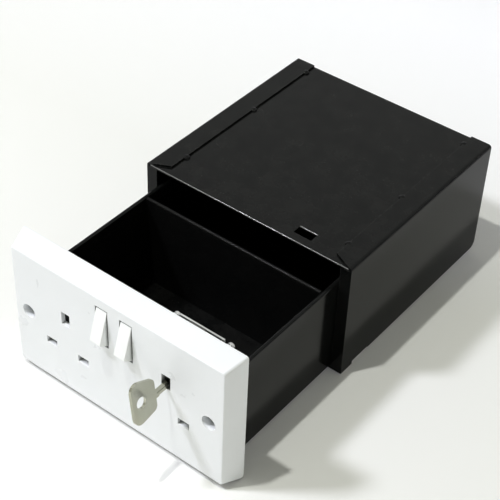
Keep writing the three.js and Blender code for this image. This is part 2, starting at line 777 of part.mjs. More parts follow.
// Outline of the bow: a fan with rounded corners, wider at its front.
function bowShape() {
  const corners = [
    [bowFront, bowFrontHalf],
    [bowRear, bowRearHalf],
    [bowRear, -bowRearHalf],
    [bowFront, -bowFrontHalf],
  ].map(([y, z]) => new THREE.Vector2(y, z));
  const reaches = [bowFrontCorner, bowRearCorner, bowRearCorner, bowFrontCorner];
  const shape = new THREE.Shape();
  corners.forEach((corner, i) => {
    const before = corners.at(i - 1);
    const after = corners[(i + 1) % corners.length];
    const start = corner.clone().add(before.clone().sub(corner).setLength(reaches[i]));
    const end = corner.clone().add(after.clone().sub(corner).setLength(reaches[i]));
    if (i === 0) shape.moveTo(start.x, start.y);
    else shape.lineTo(start.x, start.y);
    shape.quadraticCurveTo(corner.x, corner.y, end.x, end.y);
  });
  return shape;
}

function key() {
  const shape = bowShape();
  const hole = rodAlongX(bowFront + bowHoleFromFront, 0, bowHoleRadius, -bowThickness, bowThickness, 32);
  const bow = cut(alongX(shape, -bowThickness / 2, bowThickness / 2, 10), [hole])
    .translate([0, -bowRear, 0])
    .rotate([-bowLean, 0, 0])
    .translate([0, bowRear, bowAboveBlade]);
  const bladeStart = bowRear - overrun;
  const tipHalf = bladeTipHeight / 2;
  const blade = alongX(polygon([
    [bladeStart, -bladeHeight / 2 - shoulderDrop],
    [bowRear + shoulderLength, -bladeHeight / 2 - shoulderDrop],
    [bowRear + shoulderLength, -bladeHeight / 2],
    [bladeTip - bladeHeight / 2, -bladeHeight / 2],
    [bladeTip, -tipHalf],
    [bladeTip, tipHalf],
    [bladeTip - bladeHeight / 2, bladeHeight / 2],
    [bladeStart, bladeHeight / 2],
  ]), -bladeThickness / 2, bladeThickness / 2);
  const result = piece('key', joined([bow, blade]), 'nickel');
  result.position.set(lockX, 0, lockZ);
  result.rotation.y = -keyTurnAtRest;
  return result;
}

const sleeve = new THREE.Group();
sleeve.add(
  sleeveTopPanel(),
  sleeveFloorAndBack(),
  sleeveSide('sleeve_left_side', -1, leftTacks),
  sleeveSide('sleeve_right_side', 1, rightTacks),
);

const drawer = new THREE.Group();
drawer.add(
  faceplate(),
  drawerFrontWall(),
  drawerRearWall(),
  drawerSide('drawer_left_side', -1),
  drawerSide('drawer_right_side', 1),
  drawerBase(),
);
plateScrewPlaces().forEach(([x, z], i) => drawer.add(screw(`plate_screw_${i + 1}`, x, z, frontWallBack)));

const switches = new THREE.Group();
switches.add(
  rocker('rocker_left', -rockerX),
  rocker('rocker_right', rockerX),
  rockerAxle(),
  rockerCradle(),
);

const lock = new THREE.Group();
lock.add(
  lockBarrel(),
  lockNut(),
  lockCase(),
  lockBackplate(),
  lockPlug(),
  lockBolt(),
  key(),
);
lockScrewPlaces().forEach(([x, z], i) => lock.add(screw(`lock_screw_${i + 1}`, x, z, backplateBack)));
drawer.add(switches, lock);

const safe = new THREE.Group();
safe.add(sleeve, drawer);
const frontReach = new THREE.Box3().setFromObject(safe, true).min.y;
safe.position.y = -(frontReach + sleeveDepth) / 2;

export default safe;
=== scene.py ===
# %% [markdown]
# # Outlet diversion safe
#
# A double switched-socket plate is the front of a steel drawer, and the drawer slides in a
# steel sleeve that is set into a wall. The solids were measured and drawn before. They could be
# rendered as they are, but their edges are knife-sharp and their faces have no finish. So this
# lesson dresses them: it keeps their places and sizes, models the pieces that are seen most
# anew, rounds the rest, and gives each surface its finish. Units are metres.

# %% Load the measured solids
import bpy
import json
from math import radians, cos, sin
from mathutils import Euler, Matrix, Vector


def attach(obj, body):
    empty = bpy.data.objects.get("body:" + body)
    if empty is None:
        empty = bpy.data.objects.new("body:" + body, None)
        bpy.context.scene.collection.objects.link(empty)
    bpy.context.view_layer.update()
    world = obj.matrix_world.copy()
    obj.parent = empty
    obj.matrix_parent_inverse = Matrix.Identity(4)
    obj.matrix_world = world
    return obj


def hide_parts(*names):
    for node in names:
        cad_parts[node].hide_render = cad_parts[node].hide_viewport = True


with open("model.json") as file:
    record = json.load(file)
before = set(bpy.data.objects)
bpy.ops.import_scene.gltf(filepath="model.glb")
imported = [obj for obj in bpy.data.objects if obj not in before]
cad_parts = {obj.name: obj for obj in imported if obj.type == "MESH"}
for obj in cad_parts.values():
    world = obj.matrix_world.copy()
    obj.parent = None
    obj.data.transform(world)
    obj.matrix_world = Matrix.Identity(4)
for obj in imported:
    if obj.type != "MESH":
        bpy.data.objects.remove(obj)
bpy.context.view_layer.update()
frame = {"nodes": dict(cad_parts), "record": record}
scene = bpy.context.scene
for leftover in [item for item in scene.objects if item.type in {"CAMERA", "LIGHT"}]:
    bpy.data.objects.remove(leftover)
print("nodes:", len(frame["nodes"]))

# %% [markdown]
# ## The camera
# The camera stands above and to the right of the plate and looks down at the drawer. It could be
# placed by eye, but the eye forgives an error that a straight edge shows. So its place, angles
# and lens were worked out from the straight edges of the photograph. A long lens keeps parallel
# edges nearly parallel.

# %% Place the camera
camera_data = bpy.data.cameras.new("camera")
camera_data.sensor_width = 36
camera_data.lens = 97.7966
camera_data.clip_start = 0.05
camera_data.clip_end = 20
camera = bpy.data.objects.new("camera", camera_data)
camera.location = (0.33341, -0.449437, 0.532791)
camera.rotation_euler = Euler((radians(49.0235), radians(-1.9085), radians(38.2115)), "XYZ")
scene.collection.objects.link(camera)
scene.camera = camera
print("camera:", tuple(round(value, 3) for value in camera.location), "lens", camera_data.lens)

# %% [markdown]
# ## Helpers for any piece
# Blender's operators act on everything that is selected. One could select by hand each time, but
# a forgotten selection changes a piece unseen. So each step calls a helper that first leaves edit
# mode and selects only what it works on. Two more put an object's place into its mesh, which
# keeps patterns still, and shade its curves smooth while its large faces stay flat.

# %% Select, apply, settle and smooth
def select_only(*objects):
    """Leaves edit mode and selects these objects, the first of them active."""
    if bpy.context.mode != "OBJECT":
        bpy.ops.object.mode_set(mode="OBJECT")
    bpy.ops.object.select_all(action="DESELECT")
    for item in objects:
        item.select_set(True)
    if objects:
        bpy.context.view_layer.objects.active = objects[0]


def apply_modifier(piece, kind, **settings):
    """Adds one modifier, sets it and applies it."""
    select_only(piece)
    modifier = piece.modifiers.new(kind.lower(), kind)
    for key, value in settings.items():
        setattr(modifier, key, value)
    bpy.ops.object.modifier_apply(modifier=modifier.name)


def settle(piece):
    """Puts the object at the origin, with its place in its mesh."""
    select_only(piece)
    bpy.ops.object.transform_apply(location=True, rotation=True, scale=True)
    return piece


def smooth(piece, angle):
    """Shades smooth across edges that are flatter than the angle, and keeps large faces flat."""
    select_only(piece)
    bpy.ops.object.shade_smooth_by_angle(angle=radians(angle))
    apply_modifier(piece, "WEIGHTED_NORMAL", mode="FACE_AREA", weight=100, keep_sharp=True)
    return piece


print("helpers: select_only, apply_modifier, settle, smooth")

# %% [markdown]
# ## The floor and backdrop
# The object stands on a white floor. A plain square of floor would show its far edge in a low
# view. So the floor is a disc whose rim is extruded outwards and upwards in a quarter circle, and
# then straight up: it runs up all round, and no view shows a horizon.

# %% Make the floor and backdrop
floor_radius = 1.5
curve_radius = 0.6
curve_steps = 8
wall_height = 0.7
floor_gap = 0.0002
select_only()
bpy.ops.mesh.primitive_circle_add(vertices=96, radius=floor_radius, fill_type="NGON",
                                  location=(0, 0, -floor_gap))
floor = bpy.context.active_object
floor.name = "floor"
bpy.ops.object.mode_set(mode="EDIT")
bpy.ops.mesh.select_mode(type="EDGE")
bpy.ops.mesh.select_all(action="SELECT")
bpy.ops.mesh.region_to_loop()
for step in range(curve_steps):
    before = radians(90 * step / curve_steps)
    turn = radians(90 * (step + 1) / curve_steps)
    grow = (floor_radius + curve_radius * sin(turn)) / (floor_radius + curve_radius * sin(before))
    rise = curve_radius * (cos(before) - cos(turn))
    bpy.ops.mesh.extrude_region_move(TRANSFORM_OT_translate={"value": (0, 0, rise)})
    bpy.ops.transform.resize(value=(grow, grow, 1), center_override=(0, 0, 0))
bpy.ops.mesh.extrude_region_move(TRANSFORM_OT_translate={"value": (0, 0, wall_height)})
bpy.ops.mesh.select_all(action="SELECT")
bpy.ops.mesh.normals_make_consistent(inside=True)
settle(floor)
smooth(floor, 60)
print("floor rim at", [round(value, 2) for value in floor.dimensions])

# %% [markdown]
# ### The floor's white
# The floor is a matt white, and far from the lamps it would render grey. More light would whiten
# it, but would also bleach the object. So the floor's own material adds a little glow, which only
# the camera and reflections see, and which grows towards the rear where the lamps reach least.
# Two small helpers place shader nodes, here and in every finish that follows.

# %% Helpers for shader nodes
def add_node(tree, kind, settings=None, **links):
    """Adds a node, sets its properties, and links or sets its inputs by name or number."""
    node = tree.nodes.new(kind)
    for key, value in (settings or {}).items():
        setattr(node, key, value)
    for key, value in links.items():
        socket = node.inputs[int(key[1:]) if key[1:].isdigit() else key.replace("_", " ")]
        if isinstance(value, bpy.types.NodeSocket):
            tree.links.new(value, socket)
        else:
            socket.default_value = value
    return node


def ranged(tree, value, low, high, new_low, new_high):
    """The value, mapped from one range to another and clamped."""
    node = add_node(tree, "ShaderNodeMapRange", None, Value=value,
                    i1=low, i2=high, i3=new_low, i4=new_high)
    return node.outputs["Result"]


print("helpers: add_node, ranged")

# %% Paint the floor
near_y, far_y = 0.08, 0.34
near_glow, far_glow = 0.03, 0.20
floor_white = bpy.data.materials.new("floor_white")
floor_white.use_nodes = True
floor_tree = floor_white.node_tree
floor_shader = floor_tree.nodes["Principled BSDF"]
floor_shader.inputs["Base Color"].default_value = (0.90, 0.90, 0.875, 1)
floor_shader.inputs["Roughness"].default_value = 0.75
floor_shader.inputs["Specular IOR Level"].default_value = 0.2
floor_shader.inputs["Emission Color"].default_value = (1, 1, 1.35, 1)
rays = add_node(floor_tree, "ShaderNodeLightPath")
seen = add_node(floor_tree, "ShaderNodeMath", {"operation": "MAXIMUM"},
                i0=rays.outputs["Is Camera Ray"], i1=rays.outputs["Is Glossy Ray"])
place = add_node(floor_tree, "ShaderNodeTexCoord")
axes = add_node(floor_tree, "ShaderNodeSeparateXYZ", None, Vector=place.outputs["Object"])
glow = ranged(floor_tree, axes.outputs["Y"], near_y, far_y, near_glow, far_glow)
shown = add_node(floor_tree, "ShaderNodeMath", {"operation": "MULTIPLY"}, i0=seen.outputs["Value"], i1=glow)
floor_tree.links.new(shown.outputs["Value"], floor_shader.inputs["Emission Strength"])
floor.data.materials.append(floor_white)
print("material:", floor_white.name, "glows", near_glow, "to", far_glow)

# %% [markdown]
# ## The light
# One large lamp would be simpler, but the photograph shows two shadows with different edges. So
# there are two lamps. A small one high overhead draws the short, sharp shadow, and a larger,
# cooler one to the left, as from a window, draws the long soft one. A weak sky fills both. The
# level is plain: a white surface that faces the lamps comes out white, and no more.

# %% Hang the two lamps
def soft_lamp(name, place, size, power, tint):
    """A square area lamp that faces the object's middle."""
    data = bpy.data.lights.new(name, "AREA")
    data.shape = "SQUARE"
    data.size = size
    data.energy = power
    data.color = tint
    lamp = bpy.data.objects.new(name, data)
    lamp.location = place
    lamp.rotation_euler = (Vector((0, 0, 0.03)) - Vector(place)).to_track_quat("-Z", "Y").to_euler()
    scene.collection.objects.link(lamp)
    return lamp


soft_lamp("ceiling_lamp", (-0.21, -0.44, 1.6), 0.05, 9.8, (0.99, 1.0, 0.94))
soft_lamp("window_lamp", (-0.79, -0.76, 1.5), 0.2, 19.0, (0.90, 0.91, 1.0))

# %% [markdown]
# ### The sky
# The sky fills the shadows with a weak yellowish light. The black paint, though, is seen almost
# only by what it mirrors. With the same weak sky it would render as a hole. More light would also
# bleach the plate, so the sky is brighter and whiter for reflections alone.

# %% Set the sky
fill_tint, mirror_tint = (0.98, 1.0, 0.72, 1), (0.98, 1.0, 0.97, 1)
fill_level, mirror_level = 0.19, 1.0
world = bpy.data.worlds.new("soft_sky")
world.use_nodes = True
sky = world.node_tree.nodes["Background"]
sky_rays = add_node(world.node_tree, "ShaderNodeLightPath")
sky_tint = add_node(world.node_tree, "ShaderNodeMix", {"data_type": "RGBA"},
                    i0=sky_rays.outputs["Is Glossy Ray"], i6=fill_tint, i7=mirror_tint)
sky_level = ranged(world.node_tree, sky_rays.outputs["Is Glossy Ray"], 0.0, 1.0, fill_level, mirror_level)
world.node_tree.links.new(sky_tint.outputs[2], sky.inputs["Color"])
world.node_tree.links.new(sky_level, sky.inputs["Strength"])
scene.world = world
scene.view_settings.view_transform = "Standard"
print("sky:", fill_level, "for light,", mirror_level, "for reflections")

# %% [markdown]
# ## Effects that several finishes share
# Real paint and plating are never one flat colour. Each material could hold its own copy of every
# effect, but then a change to one would have to be made in all. So three small effects are built
# once, as node groups, and each material sets them with its own values.

# %% Helper for a new group
def new_group(name, inputs, outputs):
    """An empty shader group with number sockets, and its two end nodes."""
    group = bpy.data.node_groups.new(name, "ShaderNodeTree")
    for label, value in inputs:
        socket = group.interface.new_socket(name=label, in_out="INPUT", socket_type="NodeSocketFloat")
        socket.default_value = value
    for label in outputs:
        group.interface.new_socket(name=label, in_out="OUTPUT", socket_type="NodeSocketFloat")
    return group, group.nodes.new("NodeGroupInput"), group.nodes.new("NodeGroupOutput")


print("helper: new_group")

# %% [markdown]
# ### Edge wear
# Hands and neighbouring parts rub a finish thin at its edges first. An edge could be painted by
# hand, but the shader can find it: a Bevel node bends the normal near an edge, and where it
# departs from the surface's own normal there is an edge. A noise breaks the line up, as real
# wear does.

# %% Build the edge wear
wear_group, start, end = new_group(
    "edge_wear", [("Width", 0.0006), ("Scale", 400.0), ("Amount", 0.5)], ["Mask"])
bent = add_node(wear_group, "ShaderNodeBevel", {"samples": 6}, Radius=start.outputs["Width"])
surface = add_node(wear_group, "ShaderNodeNewGeometry")
match = add_node(wear_group, "ShaderNodeVectorMath", {"operation": "DOT_PRODUCT"},
                 i0=bent.outputs["Normal"], i1=surface.outputs["Normal"])
sharp = ranged(wear_group, match.outputs["Value"], 0.995, 0.85, 0.0, 1.0)
place = add_node(wear_group, "ShaderNodeTexCoord")
chips = add_node(wear_group, "ShaderNodeTexNoise", None,
                 Vector=place.outputs["Object"], Scale=start.outputs["Scale"], Detail=4.0, Roughness=0.65)
broken = ranged(wear_group, chips.outputs["Fac"], 0.42, 0.62, 0.0, 1.0)
both = add_node(wear_group, "ShaderNodeMath", {"operation": "MULTIPLY"}, i0=sharp, i1=broken)
scaled = add_node(wear_group, "ShaderNodeMath", {"operation": "MULTIPLY", "use_clamp": True},
                  i0=both.outputs["Value"], i1=start.outputs["Amount"])
wear_group.links.new(scaled.outputs["Value"], end.inputs["Mask"])
print("group:", wear_group.name, len(wear_group.nodes), "nodes")

# %% [markdown]
# ### Dust
# Dust lies on surfaces that face up, in soft clouds with a few specks. It could be a layer of tiny
# pieces, but a mask costs nothing: the normal's upward part says where dust can lie, a broad noise
# makes the clouds, and the cells of a Voronoi pattern make the specks.

# %% Build the dust
dust_group, start, end = new_group("dust", [("Scale", 60.0), ("Amount", 0.3)], ["Mask"])
surface = add_node(dust_group, "ShaderNodeNewGeometry")
split = add_node(dust_group, "ShaderNodeSeparateXYZ", None, Vector=surface.outputs["Normal"])
upward = ranged(dust_group, split.outputs["Z"], 0.3, 1.0, 0.15, 1.0)
place = add_node(dust_group, "ShaderNodeTexCoord")
broad = add_node(dust_group, "ShaderNodeTexNoise", None,
                 Vector=place.outputs["Object"], Scale=start.outputs["Scale"], Detail=5.0, Roughness=0.7)
cloud = ranged(dust_group, broad.outputs["Fac"], 0.4, 0.75, 0.0, 0.8)
cells = add_node(dust_group, "ShaderNodeTexVoronoi", {"feature": "F1"},
                 Vector=place.outputs["Object"], Scale=900.0)
specks = ranged(dust_group, cells.outputs["Distance"], 0.16, 0.05, 0.0, 0.8)
grains = add_node(dust_group, "ShaderNodeMath", {"operation": "ADD"}, i0=cloud, i1=specks)
lying = add_node(dust_group, "ShaderNodeMath", {"operation": "MULTIPLY"},
                 i0=grains.outputs["Value"], i1=upward)
scaled = add_node(dust_group, "ShaderNodeMath", {"operation": "MULTIPLY", "use_clamp": True},
                  i0=lying.outputs["Value"], i1=start.outputs["Amount"])
dust_group.links.new(scaled.outputs["Value"], end.inputs["Mask"])
print("group:", dust_group.name, len(dust_group.nodes), "nodes")

# %% [markdown]
# ### Grain
# No sprayed, moulded or plated surface is perfectly even. One noise could do for everything, but
# height and tone change at different sizes. So a fine noise gives the height, and a slow one the
# tone. Stretch pulls both along Z, for scratches.

# %% Build the grain
grain_group, start, end = new_group(
    "grain", [("Scale", 1200.0), ("Stretch", 1.0)], ["Height", "Tone"])
place = add_node(grain_group, "ShaderNodeTexCoord")
axes = add_node(grain_group, "ShaderNodeCombineXYZ", None, X=1.0, Y=1.0, Z=start.outputs["Stretch"])
pulled = add_node(grain_group, "ShaderNodeVectorMath", {"operation": "MULTIPLY"},
                  i0=place.outputs["Object"], i1=axes.outputs["Vector"])
fine = add_node(grain_group, "ShaderNodeTexNoise", None,
                Vector=pulled.outputs["Vector"], Scale=start.outputs["Scale"], Detail=3.0, Roughness=0.5)
slow = add_node(grain_group, "ShaderNodeTexNoise", None,
                Vector=pulled.outputs["Vector"], Scale=45.0, Detail=4.0, Roughness=0.55)
grain_group.links.new(fine.outputs["Fac"], end.inputs["Height"])
grain_group.links.new(slow.outputs["Fac"], end.inputs["Tone"])
print("group:", grain_group.name, len(grain_group.nodes), "nodes")

# %% [markdown]
# ## The finishes
# Each material is one Principled shader. A flat value could come through a node as well, but it
# is easier to find on the shader itself. So what is the same all over is set there, and nodes
# only bring in what changes over the surface: colour, roughness, metal that shows through, and
# the fine bump.

# %% Helpers for the finishes
def new_finish(name, roughness, metallic=0.0, specular=0.5):
    """A material with its even values set on the shader, and its tree."""
    material = bpy.data.materials.new(name)
    material.use_nodes = True
    tree = material.node_tree
    shader = tree.nodes["Principled BSDF"]
    shader.inputs["Roughness"].default_value = roughness
    shader.inputs["Metallic"].default_value = metallic
    shader.inputs["Specular IOR Level"].default_value = specular
    return material, tree, shader


def group_node(tree, group, **values):
    """Places a node group and sets its inputs."""
    node = tree.nodes.new("ShaderNodeGroup")
    node.node_tree = group
    for key, value in values.items():
        node.inputs[key].default_value = value
    return node


def mix_colour(tree, mask, first, second):
    """A colour that goes from the first to the second with the mask."""
    first, second = ((*value, 1) if isinstance(value, tuple) else value for value in (first, second))
    return add_node(tree, "ShaderNodeMix", {"data_type": "RGBA"}, i0=mask, i6=first, i7=second).outputs[2]


def bump(tree, shader, height, depth, strength):
    """Feeds a height in metres into the shader's normal."""
    node = add_node(tree, "ShaderNodeBump", None, Height=height, Distance=depth, Strength=strength)
    tree.links.new(node.outputs["Normal"], shader.inputs["Normal"])


print("helpers: new_finish, group_node, mix_colour, bump")

# %% [markdown]
# ### Black satin paint
# The sleeve and drawer are folded steel sheet under a thin satin black paint. Paint that is
# sprayed on sheet shows a fine orange peel, it rubs through to bare steel along cut edges, and
# dust lies on top. A lighter grey at the edges would be simpler. But the wear mask drives the
# colour and the metal together, so that a chip looks like steel and not like grey paint.
#
# On the top sheet, the rounded edges that face forwards and up get a bright bare-steel band all
# along: partly paint rubbed through where hands reach over them and the bolt meets the slot, and
# partly a painted highlight, as the band follows the way the edges face the lamps. The normal
# finds them, whatever their place.

# %% Mix the black paint
def paint_finish(name, highlight_and_rub=0.0):
    """A thin black paint on steel, chipped at its edges, with a bright band of rubbed bare steel and painted
    highlight where it faces forwards and up.
    """
    material, tree, shader = new_finish(name, 0.15, specular=0.10)
    wear = group_node(tree, wear_group, Width=0.0004, Scale=520.0, Amount=0.15).outputs["Mask"]
    dust = group_node(tree, dust_group, Scale=90.0, Amount=0.02)
    grain = group_node(tree, grain_group, Scale=900.0, Stretch=1.0)
    # Painted highlight: where the normal faces forwards and up, towards the lamps, the colour turns to
    # bright bare steel.
    if highlight_and_rub:
        surface = add_node(tree, "ShaderNodeNewGeometry")
        facing = add_node(tree, "ShaderNodeVectorMath", {"operation": "DOT_PRODUCT"},
                          i0=surface.outputs["Normal"], i1=(0, -0.707, 0.707))
        highlight_band = ranged(tree, facing.outputs["Value"], 0.75, 0.9, 0.0, highlight_and_rub)
        wear = add_node(tree, "ShaderNodeMath", {"operation": "MAXIMUM"}, i0=wear, i1=highlight_band).outputs["Value"]
    tone = ranged(tree, grain.outputs["Tone"], 0.3, 0.7, 0.0, 1.0)
    paint = mix_colour(tree, tone, (0.0034, 0.0036, 0.0036), (0.0046, 0.0048, 0.0046))
    dusty = mix_colour(tree, dust.outputs["Mask"], paint, (0.32, 0.31, 0.29))
    worn = mix_colour(tree, wear, dusty, (0.46, 0.46, 0.45))
    tree.links.new(worn, shader.inputs["Base Color"])
    tree.links.new(ranged(tree, wear, 0.0, 1.0, 0.0, 0.9), shader.inputs["Metallic"])
    tree.links.new(ranged(tree, grain.outputs["Tone"], 0.3, 0.7, 0.11, 0.16), shader.inputs["Roughness"])
    bump(tree, shader, grain.outputs["Height"], 0.00003, 0.6)
    print("finish:", name)
    return material


black_paint = paint_finish("black_satin_paint")
# The second paint adds the painted highlight of bare steel on edges that face forwards and up.
highlight_edge_paint = paint_finish("black_paint_highlight_edge", highlight_and_rub=0.35)

# %% [markdown]
# ### White moulded plastic
# The plate and rockers are hard moulded plastic with a soft gloss, and the rockers come from a
# whiter batch. Mouldings are smooth, so the bump is very slight. A faint warmer tone collects at
# edges where fingers reach. The slots could be left to the light alone, but behind their thin
# walls it would still reach everywhere. So an ambient occlusion mask paints shade, a near black,
# into their depths.

# %% Mix the white plastic
def plastic_finish(name, light, dark):
    """A moulded plastic with a slow change in tone, grime at its edges and painted shade in its recesses."""
    material, tree, shader = new_finish(name, 0.3)
    grime = group_node(tree, wear_group, Width=0.0006, Scale=260.0, Amount=0.06)
    grain = group_node(tree, grain_group, Scale=700.0, Stretch=1.0)
    tone = ranged(tree, grain.outputs["Tone"], 0.3, 0.7, 0.0, 1.0)
    plain = mix_colour(tree, tone, dark, light)
    handled = mix_colour(tree, grime.outputs["Mask"], plain, (0.60, 0.60, 0.57))
    # Painted shade: an ambient occlusion mask turns the colour near black deep in slots and recesses.
    hidden = add_node(tree, "ShaderNodeAmbientOcclusion", {"samples": 8}, Distance=0.004)
    depth = ranged(tree, hidden.outputs["AO"], 0.7, 0.3, 0.0, 0.97)
    tree.links.new(mix_colour(tree, depth, handled, (0.05, 0.055, 0.05)), shader.inputs["Base Color"])
    tree.links.new(ranged(tree, grain.outputs["Tone"], 0.3, 0.7, 0.26, 0.36), shader.inputs["Roughness"])
    bump(tree, shader, grain.outputs["Height"], 0.00001, 0.4)
    print("finish:", name)
    return material


plate_plastic = plastic_finish("plate_plastic", (0.845, 0.86, 0.885), (0.83, 0.845, 0.87))
rocker_plastic = plastic_finish("rocker_plastic", (0.93, 0.94, 0.94), (0.91, 0.92, 0.92))

# %% [markdown]
# ### Nickel, zinc and dark metal
# The key is nickel-plated, with fine scratches along its length from a pocket. The lock and its
# screws are zinc-plated stampings with a cloudy tone. The lock's case and bolt are given a dull dark
# grey, and the turning plug is darker still. All are metals, whose colour is the colour of their
# reflection, so one recipe with different colours, roughness and marks makes all four.

# %% Mix the metals
def metal_finish(name, light, dark, rough, marks):
    """A plated metal with a cloudy tone, fine marks (scale and stretch) and worn edges."""
    material, tree, shader = new_finish(name, rough[0], metallic=1.0)
    wear = group_node(tree, wear_group, Width=0.0004, Scale=700.0, Amount=0.5)
    grain = group_node(tree, grain_group, Scale=marks[0], Stretch=marks[1])
    tone = ranged(tree, grain.outputs["Tone"], 0.3, 0.7, 0.0, 1.0)
    plated = mix_colour(tree, tone, dark, light)
    bright = tuple(value * 1.25 for value in light)
    tree.links.new(mix_colour(tree, wear.outputs["Mask"], plated, bright), shader.inputs["Base Color"])
    tree.links.new(ranged(tree, grain.outputs["Tone"], 0.3, 0.7, *rough), shader.inputs["Roughness"])
    bump(tree, shader, grain.outputs["Height"], 0.00001, 0.5)
    print("finish:", name)
    return material


scratched, cloudy = (1500.0, 0.15), (1100.0, 1.0)
nickel = metal_finish("nickel_plate", (0.47, 0.47, 0.39), (0.39, 0.39, 0.315), (0.10, 0.18), scratched)
zinc = metal_finish("zinc_plate", (0.60, 0.60, 0.59), (0.45, 0.45, 0.44), (0.34, 0.48), cloudy)
# A dark grey zinc, much darker than the backplate, for the lock's case and bolt.
dark_zinc = metal_finish("dark_zinc", (0.10, 0.10, 0.095), (0.05, 0.05, 0.045), (0.4, 0.6), cloudy)
dark_metal = metal_finish("burnished_plug", (0.07, 0.07, 0.065), (0.035, 0.035, 0.03), (0.34, 0.5), cloudy)

# %% [markdown]
# ## Places and first forms
# Each new piece takes the place of a measured solid. Its numbers could be typed in again, but
# then a change to the solid would leave the piece behind. So its corners are read off the solid.
# The pieces grow from simple forms: a box, a rod or a plane at its size and place, which is then
# shaped in edit mode.

# %% Read off places
body_of = {node: body for body, nodes in frame["record"]["behaviour"]["bodies"].items() for node in nodes}


def span(node):
    """The low and high corner of a measured solid."""
    points = [vertex.co for vertex in frame["nodes"][node].data.vertices]
    low = Vector([min(point[i] for point in points) for i in range(3)])
    high = Vector([max(point[i] for point in points) for i in range(3)])
    return low, high


print("bodies:", sorted(set(body_of.values())))

# %% Add a box or a rod
def box_piece(name, low, high):
    """A box between two corners."""
    low, high = Vector(low), Vector(high)
    select_only()
    bpy.ops.mesh.primitive_cube_add(size=1, location=(low + high) / 2, scale=high - low)
    bpy.context.active_object.name = name
    return settle(bpy.context.active_object)


def rod_piece(name, start, end, radius, count=32):
    """A round rod between two points."""
    start, end = Vector(start), Vector(end)
    turn = (end - start).to_track_quat("Z", "Y").to_euler()
    select_only()
    bpy.ops.mesh.primitive_cylinder_add(vertices=count, radius=radius, depth=(end - start).length,
                                        location=(start + end) / 2, rotation=turn)
    bpy.context.active_object.name = name
    return settle(bpy.context.active_object)


print("helpers: span, box_piece, rod_piece")

# %% [markdown]
# ## Picking, cutting and rounding
# In edit mode, faces and edges could be picked by their number, but numbers shift with every step.
# So they are picked by their place or the way they face. Slots and bores are cut with tools of the
# same forms, which are then thrown away. Last, every sharp edge gets a narrow bevel, because a
# real edge is never a perfect knife, and only a rounded one catches the light.

# %% Pick faces or edges
def pick(piece, kind, wanted):
    """Opens edit mode with only the wanted faces or edges selected."""
    select_only(piece)
    bpy.context.tool_settings.mesh_select_mode = (False, kind == "EDGE", kind == "FACE")
    for items in (piece.data.vertices, piece.data.edges, piece.data.polygons):
        items.foreach_set("select", [False] * len(items))
    for item in (piece.data.polygons if kind == "FACE" else piece.data.edges):
        item.select = wanted(item)
    bpy.ops.object.mode_set(mode="EDIT")


def slice_at(piece, axis, value):
    """Cuts new edges round the whole piece where it crosses the value on the axis."""
    normal = [float(i == axis) for i in range(3)]
    pick(piece, "FACE", lambda face: True)
    bpy.ops.mesh.bisect(plane_co=[value * part for part in normal], plane_no=normal)


def ends(piece, edge):
    """The two end points of an edge."""
    return [piece.data.vertices[i].co for i in edge.vertices]


def lies_at(piece, edge, axis, value):
    """Whether both ends of an edge are at the value on the axis."""
    return all(abs(point[axis] - value) < 0.00002 for point in ends(piece, edge))


print("helpers: pick, slice_at, ends, lies_at")

# %% Cut, join and round
def combine(piece, tools, operation="DIFFERENCE"):
    """Cuts the tools from the piece, or joins them to it, and removes the tools."""
    select_only(*tools)
    if len(tools) > 1:
        bpy.ops.object.join()
    apply_modifier(piece, "BOOLEAN", operation=operation, solver="EXACT", object=tools[0])
    bpy.data.objects.remove(tools[0])
    return piece


def soften(piece, edge, segments=2):
    """Merges the surface, dissolves flat triangles and rounds each sharp edge."""
    select_only(piece)
    bpy.context.tool_settings.mesh_select_mode = (True, False, False)
    bpy.ops.object.mode_set(mode="EDIT")
    bpy.ops.mesh.select_all(action="SELECT")
    bpy.ops.mesh.remove_doubles(threshold=0.000004)
    bpy.ops.mesh.dissolve_limited(angle_limit=radians(1.0))
    bpy.ops.mesh.normals_make_consistent(inside=False)
    bpy.ops.object.mode_set(mode="OBJECT")
    apply_modifier(piece, "BEVEL", width=edge, segments=segments, limit_method="ANGLE",
                   angle_limit=radians(28), use_clamp_overlap=True)
    return smooth(piece, 40)


print("helpers: combine, soften")

# %% [markdown]
# ## Copies and bodies
# A screw or a rocker that is there twice is modelled once and copied. Two objects could share one
# mesh, but here each keeps its place in its mesh, so each copy gets its own. A finished piece gets
# its material, and rides on the moving body of the solid that it replaces.

# %% Copy a piece, and hang it on its body
def twin(piece, name, move):
    """A copy with its own mesh, moved to another place."""
    other = bpy.data.objects.new(name, piece.data.copy())
    scene.collection.objects.link(other)
    other.location = move
    return settle(other)


def finish_piece(piece, slot, material, node):
    """Gives the piece its material and puts it on the node's body, in place of the node."""
    piece.data.materials.clear()
    piece.data.materials.append(material)
    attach(piece, body_of[node])
    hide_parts(node)
    print("piece:", piece.name, len(piece.data.polygons), "faces on", body_of[node])


print("helpers: twin, finish_piece")

# %% [markdown]
# ## The faceplate
# A double socket's plate is a shallow moulded shell. Its sides lean in towards the face, so that
# it leaves the mould, and its front edge is rounded. A thin face could be given a thickness, but
# the rim has to stay square. So it grows from a box that is sliced near its rim: the face is drawn
# in, the corners and the front edge are bevelled, and a second box with the same lean hollows it.
# Each cutting tool reaches a little past the surface, so that it leaves no skin.

